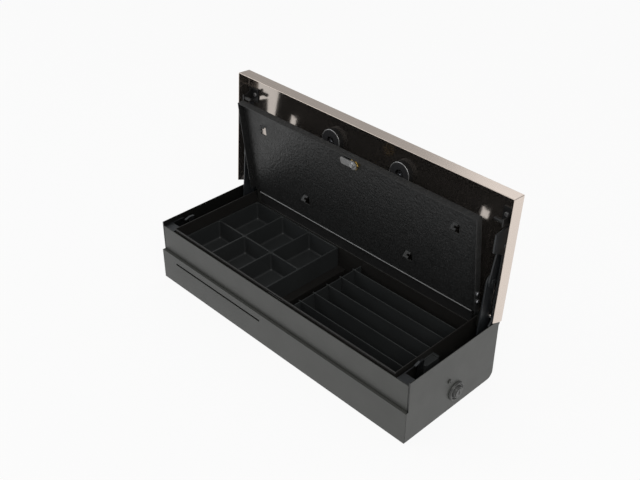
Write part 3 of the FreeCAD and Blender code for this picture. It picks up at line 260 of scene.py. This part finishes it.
@dataclass(frozen=True)
class WrinkleCoat:
    """Black wrinkle paint: small rounded folds that catch the light, with highlights painted into the
    colour on their crests.
    """

    name: str
    tone: Colour = (0.019, 0.0195, 0.0195)
    roughness: float = 0.42
    specular: float = 0.42
    drift_cells: float = 95.0
    fold_cells: float = 300.0
    grit_cells: float = 780.0
    depth: float = 0.5 * MM
    painted_highlight_from: float = 0.52

    def make(self) -> bpy.types.Material:
        """Build the material."""
        shader = Shader(self.name, self.tone, 0.0, self.roughness)
        shader.surface.inputs["Specular IOR Level"].default_value = self.specular
        drift = shader.noise(self.drift_cells)
        folds = shader.add("ShaderNodeTexVoronoi", {"feature": "SMOOTH_F1"},
                           {"Vector": shader.place(), "Scale": self.fold_cells, "Smoothness": 0.6})
        grit = shader.noise(self.grit_cells, 3.0)
        height = folds * 0.8 + grit * 0.5 + drift * 0.6
        shader.relief(height, self.depth, 0.85)
        # Painted highlight: the base colour rises from 0.7 to 2.3 times the tone where the grit noise
        # peaks, standing in for light caught on the fold crests.
        painted_crest_highlight = ((grit - self.painted_highlight_from) * 5.0).clamp()
        shader.feed("Base Color", shader.blend(painted_crest_highlight, shade(self.tone, 0.7), shade(self.tone, 2.3)))
        shader.feed("Roughness", (drift * 0.24 + 0.3).clamp())
        return shader.material


@dataclass(frozen=True)
class BrushedSheet:
    """Stainless sheet, brushed outside and with a dark polished reverse inside the lid."""

    name: str
    tone: Colour = (0.73, 0.636, 0.568)
    inner_tone: Colour = (0.5, 0.45, 0.41)
    roughness: float = 0.27
    reverse: float = 0.1
    brushing: tuple[float, float, float] = (14.0, 900.0, 900.0)
    fog_cells: float = 14.0
    brush_depth: float = 0.01 * MM
    half_width: float = 229.2 * MM
    skin: float = 3.2 * MM
    front: float = -165.5 * MM
    back: float = 2.5 * MM

    def make(self) -> bpy.types.Material:
        """Build the material."""
        shader = Shader(self.name, self.tone, 1.0, self.roughness)
        lines = shader.noise(1.0, 3.0, self.brushing)
        fog = shader.noise(self.fog_cells, 3.0)
        across, along, height = shader.shut_place(OUTER_SWING)
        inside = (abs(across) < self.half_width) * (height < self.skin)
        inside = inside * (along > self.front) * (along < self.back)
        bare = 1 - inside
        rough = (lines * 0.12 + fog * 0.06 + (self.roughness - 0.09)) * bare
        shader.feed("Roughness", (rough + inside * (fog * 0.05 + self.reverse)).clamp())
        grain = (lines * 0.5 + fog * 0.5).clamp()
        outer = shader.blend(grain, shade(self.tone, 0.93), shade(self.tone, 1.06))
        shader.feed("Base Color", shader.blend(inside, outer, self.inner_tone))
        shader.feed("Metallic", 1 - inside * 0.05)
        shader.relief(lines * bare, self.brush_depth, 0.5)
        return shader.material


@dataclass(frozen=True)
class PlatedSteel:
    """Zinc or nickel on steel: faint cloudy spangle and fine handling marks."""

    name: str
    tone: Colour = (0.56, 0.56, 0.57)
    roughness: float = 0.3
    metallic: float = 1.0
    bare_from: float = -1.0
    bare_to: float = 1.0
    paint_tone: Colour = (0.012, 0.012, 0.012)
    spangle_cells: float = 260.0
    handling: tuple[float, float, float] = (70.0, 900.0, 500.0)
    mark_depth: float = 0.01 * MM

    def make(self) -> bpy.types.Material:
        """Build the material. Where bare heights are given, paint covers it below and above them."""
        shader = Shader(self.name, self.tone, self.metallic, self.roughness)
        cloud = shader.add("ShaderNodeTexVoronoi", {"feature": "F1"},
                           {"Vector": shader.place(), "Scale": self.spangle_cells})
        marks = shader.noise(1.0, 4.0, self.handling)
        spangle = (cloud * 0.6 + marks * 0.4).clamp()
        colour = shader.blend(spangle, shade(self.tone, 0.82), shade(self.tone, 1.1))
        if self.bare_from > 0:
            height = shader.axes()[2]
            bare = (height > self.bare_from) * (height < self.bare_to)
            colour = shader.blend(bare, self.paint_tone, colour)
            shader.feed("Metallic", bare * self.metallic)
        shader.feed("Base Color", colour)
        shader.feed("Roughness", (marks * 0.2 + cloud * 0.1 + (self.roughness - 0.14)).clamp())
        shader.relief(marks, self.mark_depth, 0.5)
        return shader.material


@dataclass(frozen=True)
class PotMagnet:
    """A pot magnet: dark face and bright turned rim, with painted shade in the well for its screw and on
    its side.
    """

    name: str
    tone: Colour = (0.034, 0.034, 0.036)
    rim_tone: Colour = (0.5, 0.5, 0.5)
    across: float = 59.0 * MM
    along: float = -124.3 * MM
    rim: tuple[float, float] = (14.7 * MM, 15.85 * MM)
    well: float = 6.2 * MM
    roughness: float = 0.4
    mottle_cells: float = 500.0
    grain_cells: float = 1400.0
    grain_depth: float = 0.02 * MM

    def make(self) -> bpy.types.Material:
        """Build the material."""
        shader = Shader(self.name, self.tone, 0.0, self.roughness)
        across, along = shader.shut_place(OUTER_SWING)[:2]
        reach = ((abs(across) - self.across) ** 2 + (along - self.along) ** 2) ** 0.5
        rim = (reach > self.rim[0]) * (reach < self.rim[1])
        face = shader.blend(shader.noise(self.mottle_cells), shade(self.tone, 0.8), shade(self.tone, 1.2))
        # Painted shade: inside the screw's well the colour is darkened to a tenth of the tone.
        face = shader.blend(reach < self.well, face, shade(self.tone, 0.1))
        # Painted shade: beyond the rim, on the magnet's side, the colour is darkened to six hundredths of
        # the tone.
        side = shader.blend(reach > self.rim[1], face, shade(self.tone, 0.06))
        shader.feed("Base Color", shader.blend(rim, side, self.rim_tone))
        shader.feed("Metallic", rim * 0.8)
        shader.feed("Roughness", (reach > self.rim[1]) * 0.35 + self.roughness)
        shader.relief(shader.noise(self.grain_cells), self.grain_depth, 0.4)
        return shader.material


@dataclass(frozen=True)
class MouldedPlastic:
    """Moulded plastic or rubber with a spark-eroded grain."""

    name: str
    tone: Colour = (0.021, 0.022, 0.022)
    roughness: float = 0.46
    grain_cells: float = 1900.0
    rub_cells: float = 22.0
    depth: float = 0.03 * MM

    def make(self) -> bpy.types.Material:
        """Build the material."""
        shader = Shader(self.name, self.tone, 0.0, self.roughness)
        grain = shader.noise(self.grain_cells)
        rub = shader.noise(self.rub_cells, 4.0)
        shader.feed("Base Color", shader.blend((grain * 0.4 + rub * 0.6).clamp(),
                                               shade(self.tone, 0.8), shade(self.tone, 1.3)))
        shader.feed("Roughness", (rub * 0.2 + (self.roughness - 0.1)).clamp())
        shader.relief(grain, self.depth, 0.6)
        return shader.material


@dataclass(frozen=True)
class CoilTape:
    """Amber tape over a winding, with the turns showing through it."""

    name: str
    tone: Colour = (0.32, 0.13, 0.03)
    roughness: float = 0.3
    band_scale: float = 250.0
    depth: float = 0.1 * MM

    def make(self) -> bpy.types.Material:
        """Build the material."""
        shader = Shader(self.name, self.tone, 0.0, self.roughness)
        bands = shader.add("ShaderNodeTexWave", {"bands_direction": "Y"},
                           {"Vector": shader.place(), "Scale": self.band_scale}, "Fac")
        shader.feed("Base Color", shader.blend(bands, shade(self.tone, 0.6), self.tone))
        shader.relief(bands, self.depth, 0.5)
        return shader.material


@dataclass
class Finishes:
    """Every finish of the drawer, by the name of its slot in the record or of its node."""

    made: dict[str, bpy.types.Material] = field(default_factory=dict)

    def build(self) -> None:
        """Make one material for each slot, and one for each node that looks different from its slot."""
        coats = {
            "case_paint": PowderCoat("case_powder_coat"),
            "rubber": MouldedPlastic("pad_rubber", (0.018, 0.018, 0.018), 0.7),
            "zinc": PlatedSteel("zinc_plate", (0.1, 0.105, 0.11), 0.42),
            "stainless": BrushedSheet("lid_stainless"),
            "bright_steel": PlatedSteel("nickel_plate", (0.42, 0.43, 0.45), 0.34),
            "dark_steel": PowderCoat("stay_paint", (0.019, 0.0215, 0.024), 0.36),
            "tray_black": PowderCoat("tray_powder_coat", (0.0135, 0.0128, 0.0118), 0.4),
            "plastic_black": MouldedPlastic("black_moulding", (0.0215, 0.0235, 0.024)),
            "wrinkle_black": WrinkleCoat("inner_lid_wrinkle_coat"),
            "brass": PlatedSteel("lock_brass", (0.78, 0.62, 0.3), 0.24),
            "coil_wrap": CoilTape("coil_tape"),
        }
        panel = PowderCoat("panel_powder_coat", dark_within=225.1 * MM)
        striker = PowderCoat("striker_paint", (0.011, 0.011, 0.011), 0.42)
        lock = PlatedSteel("lock_dark_nickel", (0.085, 0.086, 0.084), 0.36, 0.35)
        hinge = PlatedSteel("hinge_steel", (0.24, 0.24, 0.24), 0.45, bare_from=89.7 * MM, bare_to=91.2 * MM)
        screw = PlatedSteel("dull_screw", (0.3, 0.3, 0.3), 0.42, 0.8)
        cam = PlatedSteel("cam_steel", (0.34, 0.34, 0.34), 0.42, 0.8)
        nodes = {
            "side_panel_left": panel, "side_panel_right": panel,
            "striker_left": striker, "striker_right": striker,
            "side_lock_barrel": lock, "side_lock_plug": lock, "case_screws": PowderCoat("screw_paint"),
            "hinge_leaf_tray": hinge, "hinge_leaf_lid": hinge, "hinge_wire": hinge,
            "striker_screws": screw, "inner_lock_cam": cam,
            "inner_lock_screw": PlatedSteel("cam_screw_steel", (0.6, 0.6, 0.6), 0.28),
            "lid_magnets": PotMagnet("pot_magnet"),
        }
        for name, recipe in {**coats, **nodes}.items():
            if recipe.name not in bpy.data.materials:
                recipe.make()
            self.made[name] = bpy.data.materials[recipe.name]
            log.info("finish %s", name)

    def dress(self, piece: bpy.types.Object, node: str, slot: str) -> None:
        """Give a piece the finish of its node, or else of its slot, all over."""
        material = self.made.get(node, self.made[slot])
        if piece.material_slots:
            for place in piece.material_slots:
                place.material = material
        else:
            piece.data.materials.append(material)


class Bench:
    """The few modelling steps that every piece shares."""

    @staticmethod
    def alone(piece: bpy.types.Object) -> None:
        """Select one piece and nothing else."""
        bpy.ops.object.select_all(action="DESELECT")
        piece.select_set(True)
        bpy.context.view_layer.objects.active = piece

    @staticmethod
    def modify(piece: bpy.types.Object, kind: str, **settings: object) -> None:
        """Add a modifier and apply it."""
        Bench.alone(piece)
        modifier = piece.modifiers.new(kind.lower(), kind)
        for key, value in settings.items():
            setattr(modifier, key, value)
        bpy.ops.object.modifier_apply(modifier=modifier.name)

    @staticmethod
    def smooth(piece: bpy.types.Object, degrees: float) -> None:
        """Shade smooth, but keep edges sharper than an angle."""
        Bench.alone(piece)
        bpy.ops.object.shade_smooth_by_angle(angle=math.radians(degrees))


@dataclass(frozen=True)
class Softening:
    """How far the edges of a folded or moulded piece are rounded."""

    width: float
    steps: int = 2
    sharper_than: float = 38.0


@dataclass
class SoftenedPieces:
    """CAD pieces whose folded or moulded edges are rounded, so that they catch the light.

    Faces that turn by less than flat degrees are joined first, and an edge that turns by more
    than crease degrees stays a line.
    """

    finishes: Finishes
    folded: Softening = Softening(0.32 * MM)
    moulded: Softening = Softening(0.45 * MM, 3)
    merge: float = 0.002 * MM
    flat: float = 1.0
    crease: float = 60.0

    def round_off(self, node: str, body: str, slot: str, soft: Softening) -> bpy.types.Object:
        """Copy a CAD node, round its edges and let the copy stand for it.

        Args:
            node: the CAD node.
            body: the body that it rides on.
            slot: the finish's slot.
            soft: how far its edges are rounded.

        Returns:
            The rounded piece.
        """
        source = frame["nodes"][node]
        piece = bpy.data.objects.new(node + "_rounded", source.data.copy())
        bpy.context.scene.collection.objects.link(piece)
        piece.data.materials.clear()
        Bench.alone(piece)
        bpy.ops.object.mode_set(mode="EDIT")
        bpy.ops.mesh.select_all(action="SELECT")
        bpy.ops.mesh.remove_doubles(threshold=self.merge)
        bpy.ops.mesh.dissolve_limited(angle_limit=math.radians(self.flat))
        bpy.ops.object.mode_set(mode="OBJECT")
        Bench.modify(piece, "BEVEL", width=soft.width, segments=soft.steps, limit_method="ANGLE",
                     angle_limit=math.radians(soft.sharper_than), use_clamp_overlap=False,
                     harden_normals=False)
        Bench.smooth(piece, self.crease)
        Bench.modify(piece, "WEIGHTED_NORMAL", mode="FACE_AREA", weight=100, keep_sharp=True)
        self.finishes.dress(piece, node, slot)
        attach(piece, body)
        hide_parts(node)
        log.info("rounded %s", node)
        return piece


@dataclass
class Casing:
    """The steel case: its plates, its rear cover, its latch brackets and the side lock."""

    soften: SoftenedPieces
    plates: tuple[str, ...] = ("front_plate", "front_band", "side_panel_left", "side_panel_right",
                               "rear_panel", "base_panel")

    def build(self) -> None:
        """Round the folded plates, the rear cover, the lock's head and the brackets."""
        for node in self.plates:
            self.soften.round_off(node, "casing", "case_paint", self.soften.folded)
        self.soften.round_off("rear_cover", "casing", "stainless", self.soften.folded)
        self.soften.round_off("side_lock_barrel", "casing", "dark_steel", self.soften.moulded)
        for side in ("left", "right"):
            self.soften.round_off("latch_bracket_" + side, "casing", "zinc", self.soften.folded)


@dataclass
class MoneyTray:
    """The tray with its mouldings, and the slip box under it."""

    soften: SoftenedPieces

    def build(self) -> None:
        """Round the tray, the slip box and the mouldings."""
        self.soften.round_off("tray", "casing", "tray_black", self.soften.folded)
        self.soften.round_off("slip_box", "casing", "tray_black", self.soften.folded)
        for node in ("coin_cups", "note_rail_left", "note_rail_right"):
            self.soften.round_off(node, "casing", "plastic_black", self.soften.moulded)
        self.soften.round_off("note_dividers", "casing", "plastic_black", self.soften.folded)
        self.soften.round_off("tray_catches", "casing", "plastic_black", self.soften.moulded)


@dataclass
class InnerLid:
    """The wrinkle-coated inner lid."""

    soften: SoftenedPieces

    def build(self) -> None:
        """Round the lid's folds."""
        self.soften.round_off("inner_lid", "inner_lid", "wrinkle_black", self.soften.folded)


@dataclass
class OuterLid:
    """The stainless cover with its rails, stays and strikers."""

    soften: SoftenedPieces

    def build(self) -> None:
        """Round the cover, the rails, the stays and the strikers."""
        self.soften.round_off("lid_cover", "lid", "stainless", self.soften.folded)
        self.soften.round_off("lid_rails", "lid", "dark_steel", self.soften.folded)
        for side in ("left", "right"):
            self.soften.round_off("striker_" + side, "lid", "zinc", self.soften.folded)
            for link in ("lower_stay_", "upper_stay_"):
                self.soften.round_off(link + side, link + side, "dark_steel", self.soften.folded)


@dataclass(frozen=True)
class Lamp:
    """A square soft light that faces the drawer."""

    name: str
    place: tuple[float, float, float]
    size: float
    power: float
    warmth: Colour


@dataclass
class Studio:
    """The pale floor, the soft lights and the camera of the photograph's view."""

    camera_place: tuple[float, float, float] = (0.70579, -0.68435, 0.79766)
    camera_turn: tuple[float, float, float] = (55.9458, -0.1364, 45.8062)
    lens: float = 53.337
    sensor: float = 36.0
    nearest: float = 0.01
    floor_size: float = 8.0
    floor_tone: Colour = (0.86, 0.86, 0.86)
    floor_roughness: float = 0.9
    floor_specular: float = 0.1
    floor_white: float = 0.9
    sky: float = 0.42
    aim: tuple[float, float, float] = (0.0, 0.0, 0.1)
    lamps: tuple[Lamp, ...] = (
        Lamp("key_light", (1.3, -0.9, 1.8), 1.4, 20.0, (1.0, 0.985, 0.96)),
        Lamp("fill_light", (-1.6, -1.0, 1.3), 1.6, 9.0, (0.96, 0.98, 1.0)),
        Lamp("rear_light", (-0.4, 1.8, 1.4), 1.2, 3.2, (1.0, 1.0, 1.0)),
    )

    def camera(self) -> None:
        """Set the camera where the photograph was taken."""
        data = bpy.data.cameras.new("camera")
        data.lens = self.lens
        data.sensor_width = self.sensor
        data.clip_start = self.nearest
        view = bpy.data.objects.new("camera", data)
        view.location = self.camera_place
        view.rotation_euler = Euler([math.radians(turn) for turn in self.camera_turn])
        bpy.context.scene.collection.objects.link(view)
        bpy.context.scene.camera = view

    @staticmethod
    def seen(tree: bpy.types.NodeTree, rays: Sequence[Ray]) -> bpy.types.NodeSocket:
        """One for the named kinds of ray, else zero."""
        path = tree.nodes.new("ShaderNodeLightPath")
        found = path.outputs[rays[0].value]
        for ray in rays[1:]:
            either = tree.nodes.new("ShaderNodeMath")
            either.operation = "MAXIMUM"
            tree.links.new(found, either.inputs[0])
            tree.links.new(path.outputs[ray.value], either.inputs[1])
            found = either.outputs[0]
        return found

    def floor(self) -> None:
        """Lay a wide pale floor, which is nearly white for the eye and for mirrors and keeps the shadow."""
        bpy.ops.object.select_all(action="DESELECT")
        bpy.ops.mesh.primitive_plane_add(size=self.floor_size, location=(0.0, 0.0, 0.0))
        plane = bpy.context.active_object
        plane.name = "floor"
        shader = Shader("floor_paper", self.floor_tone, 0.0, self.floor_roughness)
        shader.surface.inputs["Specular IOR Level"].default_value = self.floor_specular
        tree = shader.tree
        white = tree.nodes.new("ShaderNodeEmission")
        white.inputs["Strength"].default_value = 1.0
        rays = self.seen(tree, (Ray.CAMERA, Ray.GLOSSY, Ray.THROUGH))
        share = tree.nodes.new("ShaderNodeMath")
        share.operation = "MULTIPLY"
        share.inputs[1].default_value = self.floor_white
        tree.links.new(rays, share.inputs[0])
        mix = tree.nodes.new("ShaderNodeMixShader")
        tree.links.new(share.outputs[0], mix.inputs[0])
        tree.links.new(shader.surface.outputs[0], mix.inputs[1])
        tree.links.new(white.outputs[0], mix.inputs[2])
        tree.links.new(mix.outputs[0], tree.nodes["Material Output"].inputs["Surface"])
        plane.data.materials.append(shader.material)

    def world(self) -> None:
        """A white surround for the eye, and a softer one for light and mirrors."""
        world = bpy.data.worlds.new("surround")
        bpy.context.scene.world = world
        world.use_nodes = True
        tree = world.node_tree
        tree.nodes.clear()
        mix = tree.nodes.new("ShaderNodeMixShader")
        tree.links.new(self.seen(tree, (Ray.CAMERA, Ray.THROUGH)), mix.inputs[0])
        for place, strength in ((1, self.sky), (2, 1.0)):
            light = tree.nodes.new("ShaderNodeBackground")
            light.inputs["Color"].default_value = (1.0, 1.0, 1.0, 1.0)
            light.inputs["Strength"].default_value = strength
            tree.links.new(light.outputs[0], mix.inputs[place])
        out = tree.nodes.new("ShaderNodeOutputWorld")
        tree.links.new(mix.outputs[0], out.inputs["Surface"])

    def hang(self, lamp: Lamp) -> None:
        """Hang one lamp and turn it to the drawer."""
        data = bpy.data.lights.new(lamp.name, "AREA")
        data.shape = "SQUARE"
        data.size = lamp.size
        data.energy = lamp.power
        data.color = lamp.warmth
        light = bpy.data.objects.new(lamp.name, data)
        light.location = lamp.place
        way = Vector(self.aim) - Vector(lamp.place)
        light.rotation_euler = way.to_track_quat("-Z", "Y").to_euler()
        bpy.context.scene.collection.objects.link(light)

    def build(self) -> None:
        """Set up the whole studio."""
        bpy.context.scene.view_settings.view_transform = "Standard"
        self.camera()
        self.floor()
        self.world()
        for lamp in self.lamps:
            self.hang(lamp)
        log.info("studio ready")


def dress_frame(finishes: Finishes) -> None:
    """Give every CAD piece the finish of its slot."""
    slots = {part["node"]: part["material_slot"] for part in frame["record"]["subparts"]}
    for node, piece in frame["nodes"].items():
        finishes.dress(piece, node, slots[node])


def main() -> None:
    """Dress the frame, build the pieces in order and report each."""
    logging.basicConfig(level=logging.INFO, format="%(message)s")
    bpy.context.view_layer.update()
    finishes = Finishes()
    finishes.build()
    dress_frame(finishes)
    soften = SoftenedPieces(finishes)
    Casing(soften).build()
    MoneyTray(soften).build()
    InnerLid(soften).build()
    OuterLid(soften).build()
    Studio().build()


if __name__ == "__main__":
    main()
